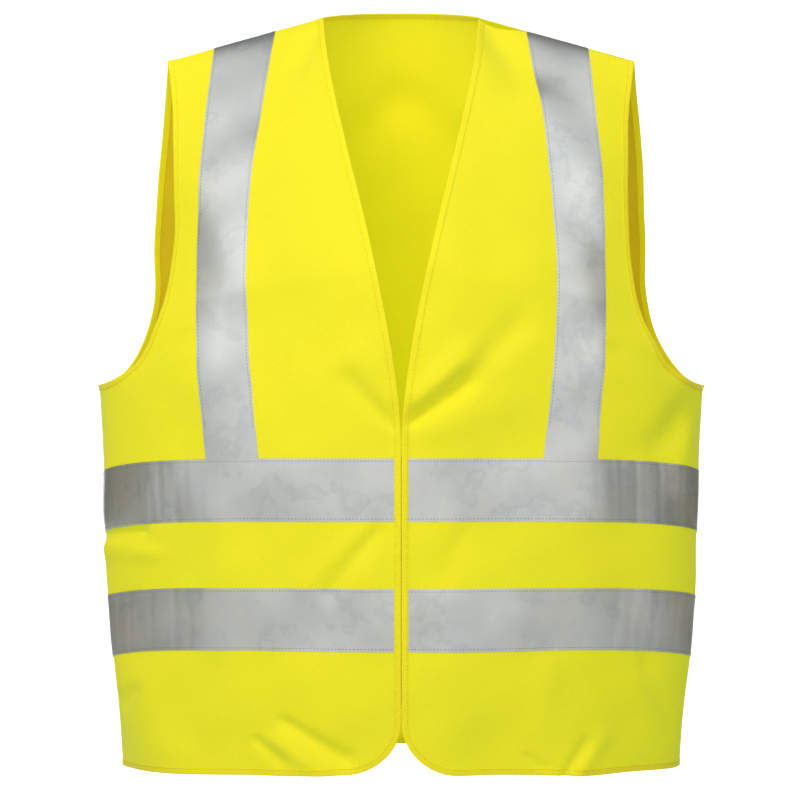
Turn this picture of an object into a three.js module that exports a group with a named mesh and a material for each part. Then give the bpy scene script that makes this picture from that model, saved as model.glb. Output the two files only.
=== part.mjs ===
// High visibility vest, as a torso fills it: two front panels that butt at the centre, a back panel,
// reflective bands and braces, edge bindings, a touch fastener behind the front edges and a care label.
// Millimetres. +X is the wearer's left, the front faces -Y, +Z is up.
// The origin is the middle of the straight line between the two neck points.

import * as THREE from "three";
import { mergeVertices } from "three/addons/utils/BufferGeometryUtils.js";

// ---- outline, heights measured from the hem ----
const NECK_HEIGHT = 613; // neck point, where neckline meets shoulder seam
const NECK_HALF = 65; // neck point to the centre line
const TIP_HEIGHT = 577; // outer end of the shoulder seam
const TIP_HALF = 193;
const BACK_NECK_HEIGHT = 622; // back neckline at the centre
const BACK_NECK_DEPTH = 48; // how far it stands behind the shoulder line
const NECK_FLARE = 1.3; // over one, so the neckline runs smoothly into the shoulder line
const UNDERARM_HEIGHT = 308;
const CLOSURE_TOP = 265; // where the two fronts part into the V neck
const HEM_SIDE_DROP = 6; // the hem hangs lower at the side seams
const CORNER_WIDTH = 45; // rounded lower corner of each front
const CORNER_HEIGHT = 41;

// ---- how the V neck and the armholes bow: pulls on the curves' handles ----
const NECK_LOW_PULL = 4; // how far the neckline leaves the centre before it turns
const NECK_LOW_RISE = 0.33;
const NECK_HIGH_PULL = 3;
const NECK_HIGH_DROP = 0.21;
const SCOOP_LEVEL_RISE = 3; // the armhole leaves the underarm this close to level
const SCOOP_PULL = 2;
const CHEST_PULL = 1;
const CHEST_RISE = 0.28;
const TIP_DROP = 0.25;
const FRONT_SCOOP = { half: 185, rise: 122, lowPull: 28, highPull: 37 };
const BACK_SCOOP = { half: 207, rise: 92, lowPull: 15, highPull: 32 };

// ---- the filled shape ----
const HALF_WIDTH = 250; // side seam to centre at the underarm
const HEM_TAPER = 20; // narrower by this much at the hem, each side
const SEAM_TAPER = 19; // the same along the side seam, which is straight from the underarm
const CHEST_DRAW = 34; // narrower by this much above the underarm, each side
const UPPER_BACK_DRAW = 18;
const SCOOP_REACH = 60; // how far above the underarm the width draws in
const STRAIGHT_FROM = 220; // below this height the sides curve in to the hem
const HEM_CURVE = 2.3;
const FRONT_DEPTH = 142; // chest and back, from the plane of the seams
const BACK_DEPTH = 125;
const HEM_DEPTH_LOSS = 14; // how much flatter it is at the hem than at the widest level
const DEEPEST_HEIGHT = 250;
const FRONT_BEND = 0.65; // share of the height where the front starts to lean to the shoulder
const BACK_BEND = 0.6;
const FRONT_ROUNDNESS = 1.3;
const BACK_ROUNDNESS = 1.5;
const SECTION_POWER = 1.8; // superellipse of every level section
const PINCH_REACH = 30; // the seam's slight groove fades out this far from it

// ---- cloth, tape and binding ----
const CLOTH = 0.8;
const TAPE_WIDTH = 50;
const TAPE = 0.4;
const BINDING_WIDTH = 4.5; // from the cloth's edge to the end of each leg
const BINDING = 0.6;
const BINDING_GAP = 0.6; // clearance between cloth and binding
const TAPE_GAP = 0.6; // clearance between cloth and anything sewn flat on it
const SEAM_GAP = 0.3; // clearance between pieces that meet edge to edge
const UPPER_BAND = 200; // lower edge of each band above the hem
const LOWER_BAND = 97;
const BAND_SIDE_DROP = 17;
const BRACE_CLEAR = 2; // from the upper band to a brace's lower end
const BRACE_INNER = [112, 139, 104]; // inner edge: at the band, bow, at the shoulder
const BRACE_OUTER = [155.5, 174.75, 155];

// ---- touch fastener and label ----
const STRIP = 0.7;
const STRIP_WIDTH = 12; // of each strip under the front edges
const STRIP_BOTTOM = 55;
const STRIP_TOP = 252;
const LABEL_WIDTH = 28;
const LABEL_LENGTH = 42;
const LABEL_BOTTOM = 52;
const LABEL_FROM_SEAM = 42;
const LABEL = 0.5;

// ---- derived sizes ----
const BINDING_RADIUS = CLOTH / 2 + BINDING_GAP;
const EDGE = SEAM_GAP / 2 + BINDING_RADIUS + BINDING; // front panel's edge to the centre plane
const TAPE_LEVEL = CLOTH / 2 + TAPE_GAP;
const CLEAR_OF_BINDING = EDGE + BINDING_WIDTH + SEAM_GAP * 2;
const UNDERARM_SHARE = UNDERARM_HEIGHT / NECK_HEIGHT;
const CLOSURE_SHARE = CLOSURE_TOP / NECK_HEIGHT;
const CORNER_SHARE = 0.3; // rows above this share of the height no longer follow the corner
const NECK_SHARE = NECK_HALF / TIP_HALF;
const SEAM_SLOPE = SEAM_TAPER / UNDERARM_HEIGHT;

const FLUO = { color: 0xfaec28, roughness: 0.8, metalness: 0 };
const FLUO_EDGE = { color: 0xf2e424, roughness: 0.75, metalness: 0 };
const SILVER = { color: 0xc6cccd, roughness: 0.35, metalness: 0.5 };
const TOUCH = { color: 0xd8d22a, roughness: 0.95, metalness: 0 };
const WHITE = { color: 0xf2f2ee, roughness: 0.7, metalness: 0 };

const vest = new THREE.Group();
vest.position.z = -NECK_HEIGHT;

// ---- curves in the plane of width and height ----

const plan = (x, z) => new THREE.Vector2(x, z);

function chain(...curves) {
  const path = new THREE.CurvePath();
  for (const curve of curves) path.add(curve);
  path.arcLengthDivisions = 400;
  return path;
}

const neckRise = NECK_HEIGHT - CLOSURE_TOP;
const neckline = new THREE.CubicBezierCurve(
  plan(EDGE, CLOSURE_TOP),
  plan(EDGE + NECK_LOW_PULL, CLOSURE_TOP + NECK_LOW_RISE * neckRise),
  plan(NECK_HALF - NECK_HIGH_PULL, NECK_HEIGHT - NECK_HIGH_DROP * neckRise),
  plan(NECK_HALF, NECK_HEIGHT),
);

// An armhole edge runs from the underarm in a round scoop, then up to the shoulder tip.
function armholeCurve({ half, rise, lowPull, highPull }) {
  const scoop = plan(half, UNDERARM_HEIGHT + rise);
  const left = TIP_HEIGHT - scoop.y;
  return chain(
    new THREE.CubicBezierCurve(
      plan(HALF_WIDTH, UNDERARM_HEIGHT),
      plan(HALF_WIDTH - lowPull, UNDERARM_HEIGHT + SCOOP_LEVEL_RISE),
      plan(half + SCOOP_PULL, UNDERARM_HEIGHT + highPull),
      scoop,
    ),
    new THREE.CubicBezierCurve(
      scoop,
      plan(half - CHEST_PULL, scoop.y + CHEST_RISE * left),
      plan((half + TIP_HALF) / 2 - SCOOP_PULL, TIP_HEIGHT - TIP_DROP * left),
      plan(TIP_HALF, TIP_HEIGHT),
    ),
  );
}

const frontArmhole = armholeCurve(FRONT_SCOOP);
const backArmhole = armholeCurve(BACK_SCOOP);

// ---- the filled shape ----

const clamp = THREE.MathUtils.clamp;
const lerp = THREE.MathUtils.lerp;
const superellipse = (share) => Math.pow(1 - Math.pow(clamp(share, 0, 1), SECTION_POWER), 1 / SECTION_POWER);

function halfWidth(z, draw) {
  if (z > UNDERARM_HEIGHT) {
    const rise = (z - UNDERARM_HEIGHT) / SCOOP_REACH;
    return HALF_WIDTH - draw * (1 - Math.exp(-rise * rise));
  }
  const below = Math.max(1 - z / STRAIGHT_FROM, 0);
  return HALF_WIDTH - HEM_TAPER * Math.pow(below, HEM_CURVE);
}

function depthAt(z, depth) {
  const away = (z - DEEPEST_HEIGHT) / DEEPEST_HEIGHT;
  return depth - HEM_DEPTH_LOSS * away * away;
}

// One for the chest, falling to nothing at the shoulder line.
function lean(share, bend, roundness) {
  const t = clamp((share - bend) / (1 - bend), 0, 1);
  return Math.pow(1 - Math.pow(t, roundness), 1 / roundness);
}

const seamHalf = (z) => HALF_WIDTH - (UNDERARM_HEIGHT - z) * SEAM_SLOPE;

// A point of the filled shape at width x and height z. `top` is its depth on the shoulder line.
function shape(side, x, z, fullness, top) {
  const half = halfWidth(z, side.draw);
  const full = depthAt(z, side.depth) * superellipse(Math.abs(x) / half);
  const y = SEAM_GAP / 2 + top + (full - top) * fullness;
  let across = x;
  if (z <= UNDERARM_HEIGHT) {
    const near = 1 - clamp(y / PINCH_REACH, 0, 1) ** 2;
    across -= Math.sign(x) * (half - seamHalf(z)) * near * near;
  }
  const point = new THREE.Vector3(across, side.out * y, z);
  point.width = x; // before the seam's groove
  point.low = fullness === 1; // below the lean to the shoulder, width and height alone place a point
  return point;
}

const FRONT = { out: -1, depth: FRONT_DEPTH, draw: CHEST_DRAW };
const BACK = { out: 1, depth: BACK_DEPTH, draw: UPPER_BACK_DRAW };

function outerEdge(armhole, share) {
  if (share > UNDERARM_SHARE) {
    return armhole.getPointAt(clamp((share - UNDERARM_SHARE) / (1 - UNDERARM_SHARE), 0, 1));
  }
  const z = lerp(-HEM_SIDE_DROP, UNDERARM_HEIGHT, share / UNDERARM_SHARE);
  return plan(halfWidth(z, 0), z);
}

function innerEdge(share) {
  if (share > CLOSURE_SHARE) {
    return neckline.getPointAt(clamp((share - CLOSURE_SHARE) / (1 - CLOSURE_SHARE), 0, 1));
  }
  return plan(EDGE, (CLOSURE_TOP * share) / CLOSURE_SHARE);
}

// Left front: u is the share of the width from the inner edge, v the share of the height.
function frontSurface(u, v) {
  const inner = innerEdge(v);
  const outer = outerEdge(frontArmhole, v);
  const x = lerp(inner.x, outer.x, u);
  const corner = clamp((x - EDGE) / CORNER_WIDTH, 0, 1);
  const rise = CORNER_HEIGHT * (1 - Math.sqrt(1 - (1 - corner) ** 2));
  const follow = clamp(1 - v / CORNER_SHARE, 0, 1) ** 2;
  const z = lerp(inner.y, outer.y, u) + rise * follow;
  return shape(FRONT, x, z, lean(v, FRONT_BEND, FRONT_ROUNDNESS), 0);
}

// Back: u runs from -1 at the left edge to 1 at the right, as seen from behind.
function backSurface(u, v) {
  const outer = outerEdge(backArmhole, v);
  const span = Math.abs(u);
  const neck = clamp(span / NECK_SHARE, 0, 1);
  const shoulder = clamp((span - NECK_SHARE) / (1 - NECK_SHARE), 0, 1);
  const top = lerp(NECK_HEIGHT, TIP_HEIGHT, shoulder) + (BACK_NECK_HEIGHT - NECK_HEIGHT) * (1 - neck * neck);
  const above = clamp((v - UNDERARM_SHARE) / (1 - UNDERARM_SHARE), 0, 1);
  const below = clamp(1 - v / UNDERARM_SHARE, 0, 1);
  const z = outer.y + (top - TIP_HEIGHT) * above + HEM_SIDE_DROP * (1 - u * u) * below;
  const neckDepth = BACK_NECK_DEPTH * (1 - neck * neck) ** NECK_FLARE;
  return shape(BACK, -u * outer.x, z, lean(v, BACK_BEND, BACK_ROUNDNESS), neckDepth);
}

// ---- solids ----

function mesh(name, geometry, look, mirrored = false) {
  if (mirrored) {
    geometry.scale(-1, 1, 1);
    const index = geometry.index.array;
    for (let i = 0; i < index.length; i += 3) [index[i], index[i + 1]] = [index[i + 1], index[i]];
  }
  const piece = new THREE.Mesh(geometry, new THREE.MeshStandardMaterial(look));
  piece.name = name;
  vest.add(piece);
}

// A closed block bent by place(i, j, top) for each column i, row j and face.
function block(columns, rows, place) {
  const box = new THREE.BoxGeometry(columns, rows, 1, columns, rows, 1);
  box.deleteAttribute("normal");
  box.deleteAttribute("uv");
  const geometry = mergeVertices(box);
  const position = geometry.attributes.position;
  for (let k = 0; k < position.count; k++) {
    const i = Math.round(position.getX(k) + columns / 2);
    const j = Math.round(position.getY(k) + rows / 2);
    const p = place(i, j, position.getZ(k) > 0);
    position.setXYZ(k, p.x, p.y, p.z);
  }
  return geometry;
}

const STEP = 1e-3;

function slopes(surface, u, v, highest = 1) {
  const high = Math.min(v + STEP, highest);
  const along = surface(u + STEP, v).sub(surface(u - STEP, v));
  const up = surface(u, high).sub(surface(u, high - 2 * STEP));
  return { along, up, normal: along.clone().cross(up).normalize() };
}

// The outward normal at a point of a surface.
function outwardNormal(surface, u, v, side) {
  const point = surface(u, v);
  if (!point.low) return slopes(surface, u, v).normal;
  const level = (x, z) => shape(side, x, z, 1, 0);
  return slopes(level, point.width, point.z, NECK_HEIGHT).normal.multiplyScalar(-side.out);
}

// Nothing crosses the plane of the shoulder and side seams.
function trim(point, out) {
  point.y = out < 0 ? Math.min(point.y, -SEAM_GAP / 2) : Math.max(point.y, SEAM_GAP / 2);
  return point;
}

// Cloth between two levels off a surface, outward positive.
function sheet(surface, us, vs, low, high, side) {
  return block(us.length - 1, vs.length - 1, (i, j, top) => {
    const normal = outwardNormal(surface, us[i], vs[j], side);
    return trim(surface(us[i], vs[j]).addScaledVector(normal, top ? high : low), side.out);
  });
}

// A binding folded over an edge. `path` is the edge as [u, v] pairs, with the cloth on its left.
function binding(surface, path, side) {
  const turns = [0, Math.PI / 2, Math.PI];
  const edges = path.map(([u, v]) => surface(u, v));
  const frames = path.map(([u, v], k) => {
    const before = edges[Math.max(k - 1, 0)];
    const after = edges[Math.min(k + 1, edges.length - 1)];
    const tangent = after.clone().sub(before).normalize();
    const normal = outwardNormal(surface, u, v, side);
    const inward = normal.clone().cross(tangent).setLength(BINDING_WIDTH);
    const leg = edges[k].low ? lowLeg(side, edges[k], inward) : highLeg(surface, u, v, inward);
    return { edge: edges[k], normal, inward: inward.normalize(), leg };
  });
  return block(turns.length + 1, path.length - 1, (i, j, top) => {
    const { edge, normal, inward, leg } = frames[j];
    const radius = BINDING_RADIUS + (top ? BINDING : 0);
    if (i === 0) return trim(leg.point.clone().addScaledVector(leg.normal, radius), side.out);
    if (i === turns.length + 1) return trim(leg.point.clone().addScaledVector(leg.normal, -radius), side.out);
    const turn = turns[i - 1];
    const point = edge.clone().addScaledVector(normal, Math.cos(turn) * radius);
    return trim(point.addScaledVector(inward, -Math.sin(turn) * radius), side.out);
  });
}

// Where a binding's leg ends on the cloth, and the normal there: below the bend the shape follows
// from width and height alone, above it from the surface's own slopes.
function lowLeg(side, edge, inward) {
  const level = (x, z) => shape(side, x, z, 1, 0);
  const z = edge.z + inward.z;
  const half = halfWidth(z, side.draw);
  const x = clamp(edge.width + inward.x, -half, half);
  const normal = slopes(level, x, z, NECK_HEIGHT).normal.multiplyScalar(-side.out);
  return { point: level(x, z), normal };
}

function highLeg(surface, u, v, inward) {
  const goal = surface(u, v).add(inward);
  let legU = u;
  let legV = v;
  for (let k = 0; k < 6; k++) {
    const miss = goal.clone().sub(surface(legU, legV)).multiplyScalar(2 * STEP);
    const { along, up } = slopes(surface, legU, legV);
    const aa = along.dot(along);
    const ab = along.dot(up);
    const bb = up.dot(up);
    const determinant = aa * bb - ab * ab;
    legU += (miss.dot(along) * bb - miss.dot(up) * ab) / determinant;
    legV = clamp(legV + (miss.dot(up) * aa - miss.dot(along) * ab) / determinant, 0, 1);
  }
  return { point: surface(legU, legV), normal: slopes(surface, legU, legV).normal };
}

// ---- columns and rows, closer together where the shape turns ----

const range = (count, from, to) => Array.from({ length: count + 1 }, (_, k) => lerp(from, to, k / count));
const sectionShare = (angle) => Math.pow(Math.sin(angle), 2 / SECTION_POWER);
const sectionAngle = (share) => Math.asin(Math.pow(share, SECTION_POWER / 2));
const QUARTER = Math.PI / 2;

const cornerShare = CORNER_WIDTH / (HALF_WIDTH - HEM_TAPER - EDGE);
const frontColumns = [
  ...range(5, 0, QUARTER).map((turn) => cornerShare * (1 - Math.cos(turn))),
  ...range(13, sectionAngle(cornerShare), QUARTER).slice(1).map(sectionShare),
];
const backHalfColumns = [
  ...[0, 0.2, 0.4, 0.58, 0.74, 0.86, 0.95, 1].map((part) => part * NECK_SHARE),
  ...range(11, sectionAngle(NECK_SHARE), QUARTER).slice(1).map(sectionShare),
];
const backColumns = [...backHalfColumns].reverse().map((u) => -u).concat(backHalfColumns.slice(1));
const seamRows = [0, 0.011, 0.03, ...range(7, 0.065, UNDERARM_SHARE)];
const scoopRows = [0, 0.004, 0.01, 0.018, 0.028, 0.042].map((step) => UNDERARM_SHARE + step);
const armholeRows = [...scoopRows, ...range(9, UNDERARM_SHARE + 0.06, 0.93), 0.955, 0.975, 0.988, 0.996, 1];
const frontRows = [...seamRows, ...armholeRows.slice(1)];

// ---- cloth panels ----

const halfCloth = CLOTH / 2;
for (const [side, mirrored] of [["left", false], ["right", true]]) {
  const panel = sheet(frontSurface, frontColumns, frontRows, -halfCloth, halfCloth, FRONT);
  mesh(`front_panel_${side}`, panel, FLUO, mirrored);
}
mesh("back_panel", sheet(backSurface, backColumns, frontRows, -halfCloth, halfCloth, BACK), FLUO);

// ---- bindings ----

const frontEdgePath = [
  ...[...frontRows].reverse().map((v) => [0, v]),
  ...frontColumns.slice(1).map((u) => [u, 0]),
];
const frontArmholePath = armholeRows.map((v) => [1, v]);
const backArmholePath = [...armholeRows].reverse().map((v) => [-1, v]);
const backHemPath = backColumns.map((u) => [u, 0]);
const neckColumns = backColumns.filter((u) => Math.abs(u) < NECK_SHARE + STEP);
const backNeckPath = neckColumns.reverse().map((u) => [u, 1]);

for (const [side, mirrored] of [["left", false], ["right", true]]) {
  mesh(`front_binding_${side}`, binding(frontSurface, frontEdgePath, FRONT), FLUO_EDGE, mirrored);
  mesh(`armhole_binding_front_${side}`, binding(frontSurface, frontArmholePath, FRONT), FLUO_EDGE, mirrored);
  mesh(`armhole_binding_back_${side}`, binding(backSurface, backArmholePath, BACK), FLUO_EDGE, mirrored);
}
mesh("hem_binding_back", binding(backSurface, backHemPath, BACK), FLUO_EDGE);
mesh("neck_binding_back", binding(backSurface, backNeckPath, BACK), FLUO_EDGE);

// ---- reflective bands and braces ----

// t runs across the panel's width, w up the tape.
function bandSurface(side, bottom) {
  return (t, w) => {
    const span = side === FRONT ? t : Math.abs(t);
    const drop = BAND_SIDE_DROP * (1 - superellipse(span)) ** 2;
    const z = bottom + w * TAPE_WIDTH - drop;
    const half = halfWidth(z, side.draw);
    const x = side === FRONT ? lerp(EDGE, half, t) : -t * half;
    return shape(side, x, z, 1, 0);
  };
}

const tape = [TAPE_LEVEL, TAPE_LEVEL + TAPE];
const clearShare = (CLEAR_OF_BINDING - EDGE) / (HALF_WIDTH - EDGE);
const frontBandColumns = [clearShare, ...frontColumns.filter((u) => u > clearShare * 1.3)];
const tapeRows = range(2, 0, 1);

for (const [level, bottom] of [["upper", UPPER_BAND], ["lower", LOWER_BAND]]) {
  for (const [side, mirrored] of [["left", false], ["right", true]]) {
    const front = sheet(bandSurface(FRONT, bottom), frontBandColumns, tapeRows, ...tape, FRONT);
    mesh(`${level}_band_front_${side}`, front, SILVER, mirrored);
  }
  mesh(`${level}_band_back`, sheet(bandSurface(BACK, bottom), backColumns, tapeRows, ...tape, BACK), SILVER);
}

// The braces stop just above the upper band and meet at the shoulder seam.
const BRACE_START = (UPPER_BAND + TAPE_WIDTH + BRACE_CLEAR) / NECK_HEIGHT;

function bow([start, middle, end], s) {
  return (1 - s) ** 2 * start + 2 * s * (1 - s) * middle + s * s * end;
}

function braceX(t, v) {
  const s = clamp((v - BRACE_START) / (1 - BRACE_START), 0, 1);
  return lerp(bow(BRACE_INNER, s), bow(BRACE_OUTER, s), t);
}

function frontBraceSurface(t, v) {
  const inner = innerEdge(v).x;
  return frontSurface((braceX(t, v) - inner) / (outerEdge(frontArmhole, v).x - inner), v);
}

const backBraceSurface = (t, v) => backSurface(-braceX(1 - t, v) / outerEdge(backArmhole, v).x, v);
const braceColumns = range(4, 0, 1);
const braceRows = [BRACE_START, ...frontRows.filter((v) => v > BRACE_START + 0.01)];

for (const [side, mirrored] of [["left", false], ["right", true]]) {
  const front = sheet(frontBraceSurface, braceColumns, braceRows, ...tape, FRONT);
  mesh(`brace_front_${side}`, front, SILVER, mirrored);
  const back = sheet(backBraceSurface, braceColumns, braceRows, ...tape, BACK);
  mesh(`brace_back_${side}`, back, SILVER, mirrored);
}

// ---- touch fastener: loops inside the left edge, hooks on a strip that reaches over from the right ----

function patchSurface(fromX, toX) {
  return (t, w) => shape(FRONT, lerp(fromX, toX, t), lerp(STRIP_BOTTOM, STRIP_TOP, w), 1, 0);
}

const STRIP_END = CLEAR_OF_BINDING + STRIP_WIDTH;
const loopLevel = -TAPE_LEVEL;
const hookLevel = loopLevel - STRIP - TAPE_GAP;
const stripRows = range(8, 0, 1);
const loops = patchSurface(CLEAR_OF_BINDING, STRIP_END);
const hooks = patchSurface(-STRIP_END, STRIP_END);
mesh("loop_strip", sheet(loops, tapeRows, stripRows, loopLevel - STRIP, loopLevel, FRONT), TOUCH);
mesh("hook_strip", sheet(hooks, range(6, 0, 1), stripRows, hookLevel - STRIP, hookLevel, FRONT), TOUCH);

// ---- care label, inside the back by the left side seam ----

function labelSurface(t, w) {
  const angle = QUARTER - (LABEL_FROM_SEAM + t * LABEL_WIDTH) / BACK_DEPTH;
  const z = LABEL_BOTTOM + w * LABEL_LENGTH;
  return shape(BACK, sectionShare(angle) * halfWidth(z, 0), z, 1, 0);
}

const labelRows = range(4, 0, 1);
mesh("care_label", sheet(labelSurface, labelRows, labelRows, -TAPE_LEVEL - LABEL, -TAPE_LEVEL, BACK), WHITE);

export default vest;
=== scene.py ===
"""High visibility vest, worn shape: cloth, reflective tape, bindings, stitching and touch fastener."""

import math

import bpy
import numpy as np
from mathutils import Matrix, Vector


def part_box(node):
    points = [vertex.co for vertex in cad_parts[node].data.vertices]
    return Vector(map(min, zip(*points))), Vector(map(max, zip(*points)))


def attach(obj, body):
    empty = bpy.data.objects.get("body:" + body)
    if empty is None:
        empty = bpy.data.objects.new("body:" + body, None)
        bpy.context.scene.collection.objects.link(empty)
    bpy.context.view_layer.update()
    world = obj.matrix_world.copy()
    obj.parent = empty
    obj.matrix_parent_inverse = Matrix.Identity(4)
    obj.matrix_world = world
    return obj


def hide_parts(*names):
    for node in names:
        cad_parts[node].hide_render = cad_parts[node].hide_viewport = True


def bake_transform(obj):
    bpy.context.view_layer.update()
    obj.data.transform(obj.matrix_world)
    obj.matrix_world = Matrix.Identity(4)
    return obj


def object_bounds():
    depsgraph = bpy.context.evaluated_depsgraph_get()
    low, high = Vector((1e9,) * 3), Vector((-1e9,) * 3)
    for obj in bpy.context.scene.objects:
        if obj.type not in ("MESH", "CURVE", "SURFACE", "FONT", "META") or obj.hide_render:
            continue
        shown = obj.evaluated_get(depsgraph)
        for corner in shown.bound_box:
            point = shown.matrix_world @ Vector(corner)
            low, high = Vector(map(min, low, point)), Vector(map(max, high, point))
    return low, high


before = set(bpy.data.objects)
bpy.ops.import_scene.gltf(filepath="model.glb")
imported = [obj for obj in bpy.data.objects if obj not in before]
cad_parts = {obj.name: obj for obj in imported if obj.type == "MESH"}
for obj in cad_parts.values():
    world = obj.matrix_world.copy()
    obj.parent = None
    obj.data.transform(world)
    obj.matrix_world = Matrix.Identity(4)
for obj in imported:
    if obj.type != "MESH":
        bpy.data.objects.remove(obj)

CAD_BOX = [list(corner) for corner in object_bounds()]
MM = 0.001

# ---------------------------------------------------------------- sizes, in millimetres above the hem

PANEL_LOW, PANEL_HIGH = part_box("front_panel_left")
_, BACK_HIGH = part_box("back_panel")

CAD_CLOTH = 0.8  # the frame's panels are this thick
HEM_SIDE_DROP = 6
NECK_HEIGHT = round(-PANEL_LOW.z / MM) - HEM_SIDE_DROP
NECK_HALF = 65
TIP_HEIGHT = 577  # the tip is the outer end of the shoulder
TIP_HALF = 193
BACK_NECK_HEIGHT = 622
BACK_NECK_DEPTH = 48
NECK_FLARE = 1.3  # how the neck's depth fades towards the neck points
UNDERARM_HEIGHT = 308
CLOSURE_TOP = 265
CORNER_WIDTH = 45
CORNER_HEIGHT = 41
HALF_WIDTH = round(PANEL_HIGH.x / MM - CAD_CLOTH / 2)
HEM_TAPER = 20  # the filled shape is narrower by this much at the hem
SEAM_TAPER = 19  # and the seam by this much
DRAW = {"front": 34, "back": 18}  # narrower by this much above the underarm
DEPTH = {
    "front": round(-PANEL_LOW.y / MM - CAD_CLOTH / 2),
    "back": round(BACK_HIGH.y / MM - CAD_CLOTH / 2),
}
BEND = {"front": 0.65, "back": 0.6}  # share of the height where the chest starts to lean in
ROUNDNESS = {"front": 1.3, "back": 1.5}
OUT = {"front": -1, "back": 1}
SCOOP_REACH = 60  # height above the underarm over which it draws in
STRAIGHT_FROM = 220
HEM_CURVE = 2.3
HEM_DEPTH_LOSS = 14
DEEPEST_HEIGHT = 250
SECTION_POWER = 1.8
PINCH_REACH = 30  # the cloth turns in to the side seam over this depth
SEAM_GAP = 0.3

CLOTH = 0.45
SEAM_INSET = 1.0  # the seam strip lies this far inside the side seam
SEAM_STRIP = 0.5  # its thickness
TAPE = 0.2
TAPE_LIFT = 0.24  # tape's inner face above the middle of the cloth
TAPE_WIDTH = 50
BINDING = 0.27
BINDING_RADIUS = 0.45  # inside of the fold, from the middle of the cloth
BINDING_WIDTH = 4.7
BINDING_RIPPLE = 0.12
EDGE = SEAM_GAP / 2 + BINDING_RADIUS + BINDING
UPPER_BAND = 200
LOWER_BAND = 97
BAND_SIDE_DROP = 17
BRACE_INNER = (112, 139, 104)  # distance from the middle: foot, curve's handle, shoulder line
BRACE_OUTER = (155.5, 174.75, 155)
BRACE_TUCK = 5  # a brace reaches this far under the upper band
CRUMPLE = 0.22
STITCH_INSET = 2.2  # stitch lines from the tape's edges
STITCH_PITCH = 2.9
STITCH_LENGTH = 2.1
THREAD_THICKNESS = 0.5
STRIP_WIDTH = 12
STRIP_THICKNESS = 0.7
STRIP_CLEAR = 0.6  # from the binding to the strips
STRIP_LOW, STRIP_HIGH = 55, 252
LOOP_LEVEL = -1.0  # outer face of each strip, from the middle of the cloth
HOOK_LEVEL = -2.3
LABEL_FROM_SEAM = 42
LABEL_WIDTH = 28
LABEL_LOW, LABEL_HIGH = 52, 94
LABEL_THICKNESS = 0.3
LABEL_LEVEL = 2.2  # inside the middle of the cloth
LABEL_CURL = 1.6

# Painted light for the cloth's emission, in place of fluorescence that needs no lamp: outside an even glow
# that lifts the shade and turns it greener; inside by the neck a brighter painted glow for light coming in
# there; deep inside at the sides a dim one, painted shade.
PAINTED_GLOW_OUTSIDE = (0.12, 0.28, 0.0)
PAINTED_LIGHT_INSIDE = (0.18, 0.31, 0.0)
PAINTED_SHADE_INSIDE = (0.03, 0.05, 0.0)

UNDERARM_SHARE = UNDERARM_HEIGHT / NECK_HEIGHT
CLOSURE_SHARE = CLOSURE_TOP / NECK_HEIGHT
CORNER_SHARE = 0.3
NECK_SHARE = NECK_HALF / TIP_HALF
SEAM_SLOPE = SEAM_TAPER / UNDERARM_HEIGHT

# ---------------------------------------------------------------- the filled shape


def lerp(a, b, t):
    return a + (b - a) * t


def bezier(points, t):
    """A quadratic or cubic curve through rows of control points."""
    rows = [np.asarray(p, float) for p in points]
    t = np.asarray(t)[..., None]
    while len(rows) > 1:
        rows = [lerp(a, b, t) for a, b in zip(rows, rows[1:])]
    return rows[0]


def by_length(*curves):
    """One path through the curves, read by its share of the whole length."""
    fine = np.linspace(0, 1, 400)
    points = np.concatenate([bezier(c, fine) for c in curves])
    steps = np.linalg.norm(np.diff(points, axis=0), axis=1)
    length = np.concatenate([[0], np.cumsum(steps)])
    keep = np.concatenate([[True], steps > 0])
    share, points = (length / length[-1])[keep], points[keep]
    return lambda s: (np.interp(s, share, points[:, 0]), np.interp(s, share, points[:, 1]))


def armhole(scoop_half, scoop_rise, low_pull, high_pull):
    scoop = (scoop_half, UNDERARM_HEIGHT + scoop_rise)
    rise = TIP_HEIGHT - scoop[1]
    low = [
        (HALF_WIDTH, UNDERARM_HEIGHT),
        (HALF_WIDTH - low_pull, UNDERARM_HEIGHT + 3),
        (scoop_half + 2, UNDERARM_HEIGHT + high_pull),
        scoop,
    ]
    high = [
        scoop,
        (scoop_half - 1, scoop[1] + 0.28 * rise),
        ((scoop_half + TIP_HALF) / 2 - 2, TIP_HEIGHT - 0.25 * rise),
        (TIP_HALF, TIP_HEIGHT),
    ]
    return by_length(low, high)


NECK_RISE = NECK_HEIGHT - CLOSURE_TOP
NECKLINE = by_length([
    (EDGE, CLOSURE_TOP),
    (EDGE + 4, CLOSURE_TOP + 0.33 * NECK_RISE),
    (NECK_HALF - 3, NECK_HEIGHT - 0.21 * NECK_RISE),
    (NECK_HALF, NECK_HEIGHT),
])
ARMHOLE = {"front": armhole(185, 122, 28, 37), "back": armhole(207, 92, 15, 32)}


def superellipse(share):
    return (1 - np.clip(share, 0, 1) ** SECTION_POWER) ** (1 / SECTION_POWER)


def half_width(z, side):
    low = np.maximum(1 - z / STRAIGHT_FROM, 0) ** HEM_CURVE
    rise = (z - UNDERARM_HEIGHT) / SCOOP_REACH
    high = HALF_WIDTH - DRAW[side] * (1 - np.exp(-rise * rise))
    return np.where(z > UNDERARM_HEIGHT, high, HALF_WIDTH - HEM_TAPER * low)


def lean(share, side):
    t = np.clip((share - BEND[side]) / (1 - BEND[side]), 0, 1)
    return (1 - t ** ROUNDNESS[side]) ** (1 / ROUNDNESS[side])


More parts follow.
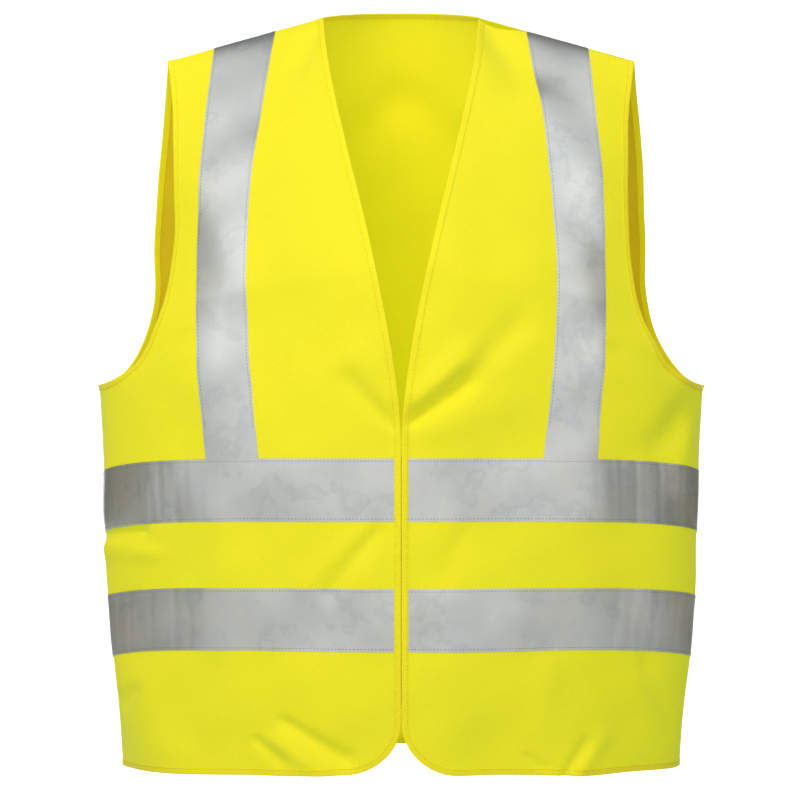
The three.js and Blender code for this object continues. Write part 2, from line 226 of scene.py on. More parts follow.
def shape(side, x, z, fullness, top):
    """Points of the filled shape at width x and height z; top is the depth on the shoulder line."""
    half = half_width(z, side)
    depth = DEPTH[side] - HEM_DEPTH_LOSS * ((z - DEEPEST_HEIGHT) / DEEPEST_HEIGHT) ** 2
    full = depth * superellipse(np.abs(x) / half)
    y = SEAM_GAP / 2 + top + (full - top) * fullness
    near = 1 - np.clip(y / PINCH_REACH, 0, 1) ** 2
    seam = HALF_WIDTH - (UNDERARM_HEIGHT - z) * SEAM_SLOPE
    pinch = np.where(z <= UNDERARM_HEIGHT, (half - seam) * near * near, 0)
    return np.stack(np.broadcast_arrays(x - np.sign(x) * pinch, OUT[side] * y, z), -1)


def outer_edge(side, v):
    past = np.clip((v - UNDERARM_SHARE) / (1 - UNDERARM_SHARE), 0, 1)
    x, z = ARMHOLE[side](past)
    low = lerp(-HEM_SIDE_DROP, UNDERARM_HEIGHT, v / UNDERARM_SHARE)
    return np.where(v > UNDERARM_SHARE, x, half_width(low, side)), np.where(v > UNDERARM_SHARE, z, low)


def inner_edge(v):
    x, z = NECKLINE(np.clip((v - CLOSURE_SHARE) / (1 - CLOSURE_SHARE), 0, 1))
    low = CLOSURE_TOP * v / CLOSURE_SHARE
    return np.where(v > CLOSURE_SHARE, x, EDGE), np.where(v > CLOSURE_SHARE, z, low)


def front_place(u, v):
    """Width and height on the left front; u from the inner edge, v up from the hem, both shares."""
    inner_x, inner_z = inner_edge(v)
    outer_x, outer_z = outer_edge("front", v)
    x = lerp(inner_x, outer_x, u)
    corner = np.clip((x - EDGE) / CORNER_WIDTH, 0, 1)
    rise = CORNER_HEIGHT * (1 - np.sqrt(1 - (1 - corner) ** 2))
    follow = np.clip(1 - v / CORNER_SHARE, 0, 1) ** 2
    return x, lerp(inner_z, outer_z, u) + rise * follow, lean(v, "front"), 0


def back_place(u, v):
    """The same for the back; u runs from -1 at the left edge to 1 at the right."""
    outer_x, outer_z = outer_edge("back", v)
    span = np.abs(u)
    neck = np.clip(span / NECK_SHARE, 0, 1)
    shoulder = np.clip((span - NECK_SHARE) / (1 - NECK_SHARE), 0, 1)
    top = lerp(NECK_HEIGHT, TIP_HEIGHT, shoulder) + (BACK_NECK_HEIGHT - NECK_HEIGHT) * (1 - neck ** 2)
    above = np.clip((v - UNDERARM_SHARE) / (1 - UNDERARM_SHARE), 0, 1)
    below = np.clip(1 - v / UNDERARM_SHARE, 0, 1)
    z = outer_z + (top - TIP_HEIGHT) * above + HEM_SIDE_DROP * (1 - u * u) * below
    neck_depth = BACK_NECK_DEPTH * (1 - neck ** 2) ** NECK_FLARE
    return -u * outer_x, z, lean(v, "back"), neck_depth


# ---------------------------------------------------------------- folds

# Each fold: side (1 left, -1 right), from, to as (width, height), its width, its height outward.
FRONT_FOLDS = [
    (1, (6, 277), (56, 314), 7, -4.0),
    (1, (38, 300), (100, 362), 11, -2.2),
    (1, (4, 292), (60, 336), 11, 2.6),
    (1, (16, 268), (92, 300), 15, 1.6),
    (-1, (6, 274), (46, 316), 8, -1.7),
    (-1, (4, 290), (40, 336), 11, 1.4),
    (-1, (18, 194), (62, 140), 8, -1.6),
    (-1, (30, 194), (78, 146), 11, 1.2),
    (-1, (96, 42), (40, 8), 6, -3.0),
    (-1, (104, 28), (56, -4), 8, 1.8),
    (-1, (118, 26), (92, 6), 5, -2.0),
    (1, (130, -4), (150, 24), 5, -1.8),
    (1, (138, -4), (166, 30), 8, 1.4),
    (1, (98, 14), (116, 0), 4, -1.2),
    (1, (72, 612), (106, 552), 18, -4.5),
    (-1, (70, 604), (92, 560), 10, -2.5),
    (-1, (206, 190), (247, 184), 5, -2.4),
    (-1, (196, 172), (246, 176), 9, 1.8),
    (-1, (214, 62), (232, 44), 8, -2.4),
    (1, (232, 292), (206, 252), 12, -2.6),
    (1, (238, 276), (222, 226), 9, 1.4),
    (1, (170, 340), (224, 316), 10, -2.0),
    (-1, (176, 352), (226, 318), 11, -1.6),
    (1, (196, 88), (224, 20), 9, -1.6),
    (-1, (150, 92), (176, 20), 12, -1.3),
    (1, (120, 92), (112, 30), 14, 1.2),
    (1, (52, 196), (30, 150), 10, -1.0),
    (-1, (150, 196), (170, 148), 10, -0.9),
]
BACK_FOLDS = [
    (1, (0, 560), (120, 440), 22, 2.6),
    (-1, (0, 560), (130, 430), 22, 2.4),
    (1, (60, 190), (110, 20), 18, -3.0),
    (-1, (40, 190), (90, 10), 18, -2.6),
    (1, (190, 330), (120, 270), 14, 2.2),
    (-1, (196, 330), (130, 262), 14, 2.0),
    (1, (8, 330), (-4, 262), 12, -1.8),
    (-1, (180, 92), (204, 10), 12, -2.4),
    (1, (160, 92), (196, 14), 12, -2.2),
]
FOLD_GAIN = 1.7
WAVES = ((150, 1.0), (95, 0.8), (60, 0.45), (36, 0.22))  # length and height of each
WAVE_GAIN = 0.75
SKIRT_TOP = 95  # the hem's flare starts here
SKIRT_REACH = 120
SKIRT_WAVE = 2.2
SEAM_CALM = 9  # folds fade over this width at the side seam
EDGE_CALM = 14  # and over this one at the front edges
NECK_CALM = 60  # and below the shoulder line


def smooth(t):
    t = np.clip(t, 0, 1)
    return t * t * (3 - 2 * t)


def ridge(x, z, start, end, width, height):
    """A fold that fades at both ends and has soft flanks."""
    a, b = np.array(start, float), np.array(end, float)
    way = b - a
    long = np.linalg.norm(way)
    along = ((x - a[0]) * way[0] + (z - a[1]) * way[1]) / long
    across = ((x - a[0]) * -way[1] + (z - a[1]) * way[0]) / long
    ends = smooth((along + width) / (2 * width)) * smooth((long + width - along) / (2 * width))
    spread = width * (0.7 + 0.5 * np.clip(along / long, 0, 1))
    return FOLD_GAIN * height * ends * np.exp(-((across / spread) ** 2))


def waves(x, z, seed):
    """Gentle unevenness of hanging cloth, from a few fixed waves."""
    draw = np.random.default_rng(seed)
    total = 0.0
    for length, height in WAVES:
        for _ in range(3):
            turn, phase = draw.uniform(0, math.pi), draw.uniform(0, 2 * math.pi)
            place = x * math.cos(turn) + z * 0.7 * math.sin(turn)
            total = total + height * np.sin(place * 2 * math.pi / length + phase)
    return total * WAVE_GAIN


def folds(side, x, z):
    """How far the cloth stands off its filled shape, outward."""
    total = waves(x + (0 if side == "front" else 900), z, 7) * smooth((NECK_HEIGHT - 8 - z) / NECK_CALM)
    for hand, start, end, width, height in FRONT_FOLDS if side == "front" else BACK_FOLDS:
        total = total + np.where(x * hand > -30, ridge(x * hand, z, start, end, width, height), 0)
    skirt = smooth((SKIRT_TOP - z) / SKIRT_REACH)
    start = 0 if side == "front" else 2
    total = total + skirt * SKIRT_WAVE * np.sin(x / 17 + 0.9 * np.sin(z / 40) + start)
    if side == "front":
        total = total * smooth(np.abs(x) / EDGE_CALM + 0.25)
    seam = smooth((half_width(z, side) - np.abs(x)) / SEAM_CALM) * np.where(z < UNDERARM_HEIGHT, 1, 0)
    return total * np.where(z < UNDERARM_HEIGHT, seam, 1)


# ---------------------------------------------------------------- surfaces

STEP = 1e-3
NO_LIMIT = 1e9


def cross_normal(points, u, v, high_v=1.0):
    """Normals of a surface given by a function, from small steps that stay below high_v."""
    top = np.minimum(v + STEP, high_v)
    along = points(u + STEP, v) - points(u - STEP, v)
    up = points(u, top) - points(u, top - 2 * STEP)
    normal = np.cross(along, up)
    return normal / np.maximum(np.linalg.norm(normal, axis=-1, keepdims=True), 1e-12)


def filled(side, place, u, v):
    """Filled points, their outward normals, and the width and height they came from."""
    x, z, fullness, top = (np.broadcast_to(a, np.broadcast(u, v).shape) for a in place(u, v))
    points = shape(side, x, z, fullness, top)
    steep = cross_normal(lambda a, b: shape(side, *place(a, b)), u, v)
    level = cross_normal(lambda a, b: shape(side, a, b, 1.0, 0.0), x, z, high_v=NO_LIMIT)
    normal = np.where((fullness >= 1)[..., None], level * -OUT[side], steep)
    return points, normal, x, z


def cloth(side, place, u, v, hand=1):
    """The hanging cloth: the filled shape with its folds. hand -1 mirrors it to the right."""
    points, normal, x, z = filled(side, place, u, v)
    points = points + normal * folds(side, x * hand, z)[..., None]
    limit = SEAM_GAP / 2
    y = points[..., 1]
    points[..., 1] = np.minimum(y, -limit) if side == "front" else np.maximum(y, limit)
    return points


def grid_normals(points):
    """Outward normals of a grid of points, rows up and columns along."""
    along = np.gradient(points, axis=1)
    up = np.gradient(points, axis=0)
    normal = np.cross(along, up)
    return normal / np.maximum(np.linalg.norm(normal, axis=-1, keepdims=True), 1e-12)


# ---------------------------------------------------------------- meshes


def to_frame(points):
    """Millimetres above the hem to metres in the frame."""
    return (points - np.array([0, 0, NECK_HEIGHT])) * MM


def add_mesh(name, vertices, faces, uvs, hand=1):
    """A smooth mesh; hand -1 mirrors it, with its faces turned to point out again."""
    vertices = np.array(vertices, float)
    faces = [list(f) for f in faces]
    if hand < 0:
        vertices[:, 0] *= -1
        faces = [f[::-1] for f in faces]
    data = bpy.data.meshes.new(name)
    data.from_pydata(to_frame(vertices).tolist(), [], faces)
    data.polygons.foreach_set("use_smooth", np.ones(len(faces), bool))
    flat = data.uv_layers.new(name="cloth")
    loops = np.zeros(len(data.loops), np.int32)
    data.loops.foreach_get("vertex_index", loops)
    flat.data.foreach_set("uv", (np.asarray(uvs) * MM)[loops].ravel().astype(np.float32))
    data.set_sharp_from_angle(angle=math.radians(50))
    data.update()
    piece = bpy.data.objects.new(name, data)
    bpy.context.scene.collection.objects.link(piece)
    return piece


def arc_uv(points):
    """Lengths along each row and up each column, as a flat pattern's coordinates."""
    across = np.linalg.norm(np.diff(points, axis=1), axis=-1)
    up = np.linalg.norm(np.diff(points, axis=0), axis=-1)
    zero_column = np.zeros((points.shape[0], 1))
    zero_row = np.zeros((1, points.shape[1]))
    u = np.concatenate([zero_column, np.cumsum(across, axis=1)], axis=1)
    v = np.concatenate([zero_row, np.cumsum(up, axis=0)], axis=0)
    return np.stack([u, v], -1)


def layer(name, points, low, high, hand=1):
    """A closed sheet around a grid of points, from low to high along its normals."""
    normal = grid_normals(points)
    rows, columns = points.shape[:2]
    faces_of_sheet = [(points + normal * level).reshape(-1, 3) for level in (high, low)]
    vertices = np.concatenate(faces_of_sheet)
    count = rows * columns
    index = np.arange(count).reshape(rows, columns)
    a, b, c, d = index[:-1, :-1], index[:-1, 1:], index[1:, 1:], index[1:, :-1]
    top = np.stack([a, b, c, d], -1).reshape(-1, 4)
    bottom = top[:, ::-1] + count
    ring = np.concatenate([index[0, :], index[1:, -1], index[-1, -2::-1], index[-2:0:-1, 0]])
    after = np.roll(ring, -1)
    wall = np.stack([ring, ring + count, after + count, after], -1)
    faces = np.concatenate([top, bottom, wall]).tolist()
    uvs = np.concatenate([arc_uv(points).reshape(-1, 2)] * 2)
    piece = add_mesh(name, vertices, faces, uvs, hand)
    # Painted light for the emission: an even glow on the outer face; on the inner face a brighter painted
    # glow by the neck that fades to painted shade towards the sides.
    painted_shade_share = smooth((np.abs(points[..., 0]) - 80) / 110).reshape(-1, 1)
    inner = lerp(np.array([PAINTED_LIGHT_INSIDE]), np.array([PAINTED_SHADE_INSIDE]), painted_shade_share)
    glow = np.concatenate([np.tile(PAINTED_GLOW_OUTSIDE, (count, 1)), inner])
    glow = np.concatenate([glow, np.ones((2 * count, 1))], axis=1)
    data = piece.data.attributes.new("glow", "FLOAT_COLOR", "POINT").data
    data.foreach_set("color", glow.ravel().astype(np.float32))
    return piece


def strip_binding(name, edge, normal, inward, leg, leg_normal, hand):
    """Tape folded over an edge: two legs and a round fold, with a slight ripple from its stitches."""
    count = len(edge)
    run = np.concatenate([[0], np.cumsum(np.linalg.norm(np.diff(edge, axis=0), axis=1))])
    ripple = BINDING_RIPPLE * np.sin(run * 2 * math.pi / 7.3)
    ripple = ripple + 0.5 * BINDING_RIPPLE * np.sin(run * 2 * math.pi / 17.9 + 1)
    turns = np.linspace(0, math.pi, 7)
    legs = (0.0, 0.35, 0.7)  # from the end of a leg to the fold
    sections = []
    for radius in (BINDING_RADIUS + BINDING, BINDING_RADIUS):
        ring = []
        for share in legs:
            base = lerp(leg, edge, share)
            way = lerp(leg_normal, normal, share)
            ring.append(base + way * (radius + ripple[:, None] * (1 - share)))
        for turn in turns:
            ring.append(edge + (normal * math.cos(turn) - inward * math.sin(turn)) * radius)
        for share in legs[::-1]:
            base = lerp(leg, edge, share)
            way = lerp(leg_normal, normal, share)
            ring.append(base - way * (radius + ripple[:, None] * (1 - share)))
        sections.append(np.stack(ring, 1))
    outer, inner = sections
    ring = np.concatenate([outer, inner[:, ::-1]], axis=1)
    size = ring.shape[1]
    index = np.arange(count * size).reshape(count, size)
    a, b = index[:-1], np.roll(index[:-1], -1, axis=1)
    c, d = np.roll(index[1:], -1, axis=1), index[1:]
    faces = np.stack([a, b, c, d], -1).reshape(-1, 4).tolist()
    half = size // 2
    for j, flip in ((0, False), (count - 1, True)):
        for k in range(half - 1):
            cap = [index[j, k], index[j, size - 1 - k], index[j, size - 2 - k], index[j, k + 1]]
            faces.append(cap[::-1] if flip else cap)
    across = np.concatenate([np.linspace(0, 16, half), np.linspace(16, 0, size - half)])
    uvs = np.stack(np.broadcast_arrays(run[:, None], across[None, :]), -1).reshape(-1, 2)
    return add_mesh(name, ring.reshape(-1, 3), faces, uvs, hand)


def edge_frames(side, place, path, hand):
    """Points, normals, inward ways and leg ends along a cloth edge, with the cloth on its left.

    Where the cloth stands full, a leg's end is found at its own width and height. Where it leans, a few
    steps over the surface find the place that lies one binding width inward.
    """
    u, v = (np.array(a, float) for a in zip(*path))
    edge = cloth(side, place, u, v, hand)
    _, normal, x, z = filled(side, place, u, v)
    tangent = np.gradient(edge, axis=0)
    tangent /= np.linalg.norm(tangent, axis=1, keepdims=True)
    inward = np.cross(normal, tangent)
    inward /= np.linalg.norm(inward, axis=1, keepdims=True)
    fullness = place(u, v)[2]
    low = np.broadcast_to(fullness >= 1, u.shape)
    leg_z = z + inward[:, 2] * BINDING_WIDTH
    half = half_width(leg_z, side)
    leg_x = np.clip(x + inward[:, 0] * BINDING_WIDTH, -half, half)
    level = shape(side, leg_x, leg_z, 1.0, 0.0)
    level_normal = cross_normal(lambda a, b: shape(side, a, b, 1.0, 0.0), leg_x, leg_z, high_v=NO_LIMIT)
    level_normal = level_normal * -OUT[side]
    goal = shape(side, *place(u, v)) + inward * BINDING_WIDTH
    leg_u, leg_v = u.copy(), v.copy()
    for _ in range(6):
        miss = (goal - shape(side, *place(leg_u, leg_v))) * 2 * STEP
        along = shape(side, *place(leg_u + STEP, leg_v))
        along = along - shape(side, *place(leg_u - STEP, leg_v))
        top = np.minimum(leg_v + STEP, 1)
        up = shape(side, *place(leg_u, top)) - shape(side, *place(leg_u, top - 2 * STEP))
        aa, ab, bb = (along * along).sum(1), (along * up).sum(1), (up * up).sum(1)
        determinant = np.maximum(aa * bb - ab * ab, 1e-12)
        on_along, on_up = (miss * along).sum(1), (miss * up).sum(1)
        move_u = np.clip((on_along * bb - on_up * ab) / determinant, -0.05, 0.05)
        move_v = (on_up * aa - on_along * ab) / determinant
        leg_u = np.where(low, leg_u, leg_u + move_u)
        leg_v = np.where(low, leg_v, np.clip(leg_v + move_v, 0, 1))
    steep, steep_normal, steep_x, steep_z = filled(side, place, leg_u, leg_v)
    leg = np.where(low[:, None], level, steep)
    leg_normal = np.where(low[:, None], level_normal, steep_normal)
    fold_x, fold_z = np.where(low, leg_x, steep_x), np.where(low, leg_z, steep_z)
    leg = leg + leg_normal * folds(side, fold_x * hand, fold_z)[:, None]
    return edge, normal, inward, leg, leg_normal


# ---------------------------------------------------------------- columns and rows

QUARTER = math.pi / 2


def section_share(angle):
    return np.sin(angle) ** (2 / SECTION_POWER)


def section_angle(share):
    return math.asin(share ** (SECTION_POWER / 2))


CORNER_PART = CORNER_WIDTH / (HALF_WIDTH - HEM_TAPER - EDGE)
FRONT_COLUMNS = np.concatenate([
    CORNER_PART * (1 - np.cos(np.linspace(0, QUARTER, 27))),
    section_share(np.linspace(section_angle(CORNER_PART), QUARTER, 112))[1:],
])
BACK_HALF = np.concatenate([
    NECK_SHARE * np.sin(np.linspace(0, QUARTER, 24)),
    section_share(np.linspace(section_angle(NECK_SHARE), QUARTER, 76))[1:],
])
BACK_COLUMNS = np.concatenate([-BACK_HALF[::-1], BACK_HALF[1:]])
SEAM_ROWS = np.linspace(0, UNDERARM_SHARE, 130)
SCOOP_PART = 0.06  # share of the height above the underarm that has the finest rows
SCOOP_ROWS = UNDERARM_SHARE + np.linspace(0, 1, 14) ** 2 * SCOOP_PART
HIGH_ROWS = 1 - (1 - UNDERARM_SHARE - SCOOP_PART) * (1 - np.linspace(0, 1, 104)) ** 1.25
ARMHOLE_ROWS = np.concatenate([SCOOP_ROWS, HIGH_ROWS[1:]])
ROWS = np.concatenate([SEAM_ROWS, ARMHOLE_ROWS[1:]])

# ---------------------------------------------------------------- shader helpers


class Socket:
    """A node's output, with arithmetic that adds Math nodes."""

    def __init__(self, maker, output):
        self.maker, self.output = maker, output

    def math(self, operation, first, second):
        return self.maker.node("ShaderNodeMath", {"operation": operation}, {0: first, 1: second})

    def __add__(self, other):
        return self.math("ADD", self, other)

    def __radd__(self, other):
        return self.math("ADD", other, self)

    def __mul__(self, other):
        return self.math("MULTIPLY", self, other)

    def __rmul__(self, other):
        return self.math("MULTIPLY", other, self)


class Shader:
    """A material's nodes, added one call at a time."""

    def __init__(self, name):
        self.material = bpy.data.materials.new(name)
        self.material.use_nodes = True
        self.tree = self.material.node_tree
        self.surface = self.tree.nodes["Principled BSDF"]

    def node(self, kind, settings=None, inputs=None, output=0):
        made = self.tree.nodes.new(kind)
        for key, value in (settings or {}).items():
            if key == "stops":
                self.set_stops(made.color_ramp, value)
            else:
                setattr(made, key, value)
        for key, value in (inputs or {}).items():
            self.feed(made.inputs[key], value)
        return Socket(self, made.outputs[output])

    @staticmethod
    def set_stops(ramp, stops):
        while len(ramp.elements) < len(stops):
            ramp.elements.new(1.0)
        for element, (place, colour) in zip(ramp.elements, stops):
            element.position = place
            element.color = colour

    def feed(self, socket, value):
        if isinstance(value, Socket):
            self.tree.links.new(value.output, socket)
        else:
            socket.default_value = value

    def set(self, **values):
        for key, value in values.items():
            self.feed(self.surface.inputs[key.replace("_", " ")], value)

    def noise(self, vector, scale, detail=2.0, rough=0.5):
        return self.node("ShaderNodeTexNoise", None,
                         {"Vector": vector, "Scale": scale, "Detail": detail, "Roughness": rough})

    def ramp(self, value, *stops):
        return self.node("ShaderNodeValToRGB", {"stops": stops}, {"Fac": value})

    def multiply(self, first, second):
        """The product of two colours."""
        settings = {"data_type": "RGBA", "blend_type": "MULTIPLY"}
        return self.node("ShaderNodeMix", settings, {0: 1.0, 6: first, 7: second}, 2)

    def bump(self, height, strength, distance, normal=None):
        inputs = {"Height": height, "Strength": strength, "Distance": distance}
        if normal is not None:
            inputs["Normal"] = normal
        return self.node("ShaderNodeBump", None, inputs)

    def coordinates(self, which):
        return self.node("ShaderNodeTexCoord", None, None, which)


def rgba(r, g, b):
    return (r, g, b, 1.0)


def knit_height(shader, uv, pitch):
    """Fine warp knit: columns of loops crossed by short courses."""
    wales = shader.node("ShaderNodeTexWave", {"wave_type": "BANDS", "bands_direction": "X"},
                        {"Vector": uv, "Scale": 0.31 / pitch, "Distortion": 0.0})
    courses = shader.node("ShaderNodeTexWave", {"wave_type": "BANDS", "bands_direction": "Y"},
                          {"Vector": uv, "Scale": 0.24 / pitch, "Distortion": 0.0})
    return wales * courses


def fluorescent_cloth(name, bright, green, shade):
    """Fluorescent polyester knit. The glow attribute holds painted light for its emission, place by place:
    an even glow that lifts and greens the shade, brighter inside by the neck, dimmer as painted shade deep
    inside at the sides.
    """
    shader = Shader(name)
    uv = shader.coordinates("UV")
    place = shader.coordinates("Object")
    broad = shader.noise(place, 9.0, 3.0)
    fine = shader.noise(place, 420.0, 2.0, 0.6)
    knit = knit_height(shader, uv, 0.0009)
    tone = shader.ramp(broad, (0.3, rgba(*bright)), (0.72, rgba(*green)))
    fleck = shader.ramp(fine * 0.6 + knit * 0.4, (0.1, rgba(*shade)), (0.55, rgba(1, 1, 1)))
    shader.set(Base_Color=shader.multiply(tone, fleck))
    shader.set(Roughness=fine * 0.2 + 0.62)
    shader.set(Normal=shader.bump(knit, 0.28, 0.00025, shader.bump(fine, 0.12, 0.0004)))
    shader.surface.inputs["Sheen Weight"].default_value = 0.12
    shader.surface.inputs["Sheen Roughness"].default_value = 0.5
    shader.surface.inputs["Specular IOR Level"].default_value = 0.18
    # Emission Color reads the painted light from the glow attribute.
    shader.set(Emission_Color=shader.node("ShaderNodeAttribute", {"attribute_name": "glow"}, None, "Color"))
    shader.surface.inputs["Emission Strength"].default_value = 1.0
    return shader.material


def reflective_tape(name):
    """Glass-bead tape: a grey gloss with tiny beads, soft creases and cloudy veins."""
    shader = Shader(name)
    place = shader.coordinates("Object")
    uv = shader.coordinates("UV")
    beads = shader.node("ShaderNodeTexVoronoi", None, {"Vector": uv, "Scale": 2600.0})
    cloudy = shader.noise(place, 26.0, 4.0, 0.6)
    crease = shader.noise(uv, 90.0, 2.0, 0.5)
    vein = shader.noise(place, 34.0, 6.0, 0.55)
    tone = shader.ramp(cloudy, (0.3, rgba(0.73, 0.76, 0.755)), (0.62, rgba(0.83, 0.84, 0.795)))
    white = rgba(1, 1, 1)
    lines = shader.ramp(vein, (0.55, white), (0.6, rgba(0.9, 0.92, 0.95)), (0.66, white))
    shader.set(Base_Color=shader.multiply(tone, lines))
    shader.set(Metallic=cloudy * 0.1 + 0.78)
    shader.set(Roughness=beads * 0.06 + cloudy * 0.08 + 0.3)
    shader.set(Normal=shader.bump(beads, 0.05, 0.0001, shader.bump(crease, 0.06, 0.0012)))
    return shader.material


def edge_cloth(name, colour, shade):
    """Woven binding: fine ribs across its length."""
    shader = Shader(name)
    uv = shader.coordinates("UV")
    ribs = shader.node("ShaderNodeTexWave", {"wave_type": "BANDS", "bands_direction": "X"},
                       {"Vector": uv, "Scale": 330.0, "Distortion": 0.4, "Detail": 1.0})
    mottle = shader.noise(uv, 300.0, 3.0, 0.6)
    fleck = shader.ramp(ribs * 0.4 + mottle * 0.6, (0.15, rgba(*shade)), (0.7, rgba(*colour)))
    shader.set(Base_Color=fleck, Roughness=mottle * 0.2 + 0.5)
    shader.set(Normal=shader.bump(ribs, 0.3, 0.0002))
    shader.surface.inputs["Sheen Weight"].default_value = 0.15
    shader.surface.inputs["Specular IOR Level"].default_value = 0.25
    # Painted light: an even yellow glow that lifts the binding's shade, though the binding is no lamp.
    shader.surface.inputs["Emission Color"].default_value = rgba(0.75, 0.72, 0.0)
    shader.surface.inputs["Emission Strength"].default_value = 0.12
    return shader.material


def thread(name, colour):
    """Spun thread with a slight twist."""
    shader = Shader(name)
    place = shader.coordinates("Object")
    twist = shader.noise(place, 3500.0, 1.0)
    dark = rgba(*(c * 0.7 for c in colour))
    shader.set(Base_Color=shader.ramp(twist, (0.3, dark), (0.7, rgba(*colour))))
    shader.set(Roughness=twist * 0.2 + 0.5, Normal=shader.bump(twist, 0.3, 0.0001))
    return shader.material


def touch_pile(name, colour, scale):
    """Loops or hooks of a touch fastener, as a dense pile."""
    shader = Shader(name)
    uv = shader.coordinates("UV")
    pile = shader.node("ShaderNodeTexVoronoi", None, {"Vector": uv, "Scale": scale})
    tone = shader.ramp(pile, (0.1, rgba(*(c * 0.6 for c in colour))), (0.6, rgba(*colour)))
    shader.set(Base_Color=tone, Roughness=pile * 0.2 + 0.7, Normal=shader.bump(pile, 0.8, 0.0006))
    return shader.material


def label_cloth(name):
    """White satin label."""
    shader = Shader(name)
    uv = shader.coordinates("UV")
    weave = shader.node("ShaderNodeTexWave", {"wave_type": "BANDS", "bands_direction": "Y"},
                        {"Vector": uv, "Scale": 700.0})
    tone = shader.ramp(weave, (0.2, rgba(0.72, 0.72, 0.7)), (0.8, rgba(0.82, 0.82, 0.8)))
    shader.set(Base_Color=tone, Roughness=weave * 0.1 + 0.45, Normal=shader.bump(weave, 0.2, 0.0001))
    return shader.material


CLOTH_LOOK = fluorescent_cloth("fluorescent_knit", (0.86, 0.58, 0.02), (0.8, 0.56, 0.02),
                               (0.88, 0.9, 0.8))
EDGE_LOOK = edge_cloth("fluorescent_binding", (0.9, 0.79, 0.012), (0.74, 0.66, 0.008))
TAPE_LOOK = reflective_tape("bead_tape")
GREY_THREAD = thread("grey_thread", (0.3, 0.3, 0.29))
YELLOW_THREAD = thread("yellow_thread", (0.78, 0.68, 0.02))
LOOP_LOOK = touch_pile("loop_pile", (0.74, 0.66, 0.02), 1500.0)
HOOK_LOOK = touch_pile("hook_pile", (0.66, 0.6, 0.03), 900.0)
LABEL_LOOK = label_cloth("label_satin")


def finish_piece(piece, look, body, node):
    """Gives a piece its material, hides the frame's part it stands for, and hangs it on the root body or
    bakes its place in.
    """
    piece.data.materials.append(look)
    if node:
        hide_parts(node)
    follow(piece, body)


def follow(piece, body):
    if body == "root":
        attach(piece, "root")
    else:
        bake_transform(piece)


# ---------------------------------------------------------------- pieces

HANDS = (("left", 1), ("right", -1))
stitch_lines = {"root": [], "front_left": [], "front_right": []}


def keep_stitches(body, points, normal, hand, colour="grey"):
    """Notes a line of stitches: its points in the frame and the way out of the cloth."""
    points, normal = points.copy(), normal.copy()
    points[:, 0] *= hand
    normal[:, 0] *= hand
    stitch_lines[body].append((to_frame(points), normal, colour))


def make_panels():
    panels = {}
    u, v = np.meshgrid(FRONT_COLUMNS, ROWS)
    for name, hand in HANDS:
        points = cloth("front", front_place, u, v, hand)
        piece = layer(f"front_cloth_{name}", points, -CLOTH / 2, CLOTH / 2, hand)
        finish_piece(piece, CLOTH_LOOK, f"front_{name}", f"front_panel_{name}")
        panels[name] = piece
    u, v = np.meshgrid(BACK_COLUMNS, ROWS)
    points = cloth("back", back_place, u, v)
    piece = layer("back_cloth", points, -CLOTH / 2, CLOTH / 2)
    finish_piece(piece, CLOTH_LOOK, "root", "back_panel")
    panels["back"] = piece
    return panels


def make_binding(name, side, place, path, hand, body, node):
    edge, normal, inward, leg, leg_normal = edge_frames(side, place, path, hand)
    piece = strip_binding(name, edge, normal, inward, leg, leg_normal, hand)
    finish_piece(piece, EDGE_LOOK, body, node)
    line = lerp(leg, edge, 0.16) + leg_normal * (BINDING_RADIUS + BINDING)
    keep_stitches(body, line, leg_normal, hand, "yellow")
    return piece


def make_bindings():
    made = {"left": [], "right": [], "back": []}
    front_path = [(0, v) for v in ROWS[::-1]] + [(u, 0) for u in FRONT_COLUMNS[1:]]
    front_arm = [(1, v) for v in ARMHOLE_ROWS]
    back_arm = [(-1, v) for v in ARMHOLE_ROWS[::-1]]
    hem = [(u, 0) for u in BACK_COLUMNS]
    neck = [(u, 1) for u in BACK_COLUMNS[::-1] if abs(u) <= NECK_SHARE + STEP]
    for name, hand in HANDS:
        body = f"front_{name}"
        made[name].append(make_binding(f"front_edge_{name}", "front", front_place, front_path, hand,
                                       body, f"front_binding_{name}"))
        made[name].append(make_binding(f"armhole_edge_front_{name}", "front", front_place, front_arm, hand,
                                       body, f"armhole_binding_front_{name}"))
        made["back"].append(make_binding(f"armhole_edge_back_{name}", "back", back_place, back_arm, hand,
                                         "root", f"armhole_binding_back_{name}"))
    for edge, path in (("hem", hem), ("neck", neck)):
        made["back"].append(make_binding(f"{edge}_edge_back", "back", back_place, path, 1,
                                         "root", f"{edge}_binding_back"))
    return made


def band_place(side, bottom):
    """Places on a band: t across the panel, w up the tape."""
    def place(t, w):
        drop = BAND_SIDE_DROP * (1 - superellipse(np.abs(t))) ** 2
        z = bottom + w * TAPE_WIDTH - drop
        half = half_width(z, side)
        x = lerp(EDGE, half, t) if side == "front" else -t * half
        return x, z, 1.0, 0.0
    return place


def crumple(points, normal, seed):
    """Fine upright puckers that sewn tape takes, deeper towards the side seams."""
    draw = np.random.default_rng(seed)
    x = points[..., 0]
    total = np.zeros(x.shape)
    for length in (11, 17, 29, 47):
        phase, slant = draw.uniform(0, 6.28), draw.uniform(-0.25, 0.25)
        total += np.sin((points[..., 1] * 0.9 + x + slant * points[..., 2]) * 2 * math.pi / length + phase)
    side = (0.45 + 1.1 * smooth((np.abs(x) - 130) / 100)) * smooth(np.abs(x) / 24)
    return points + normal * (CRUMPLE * (total / 4 + 1) * side)[..., None]


def tape_piece(name, points, hand, body, node, seed):
    """One length of tape over the cloth, and its outer face for the stitch lines."""
    normal = grid_normals(points)
    lifted = crumple(points, normal, seed)
    piece = layer(name, lifted, TAPE_LIFT, TAPE_LIFT + TAPE, hand)
    finish_piece(piece, TAPE_LOOK, body, node)
    return piece, lifted + normal * (TAPE_LIFT + TAPE)


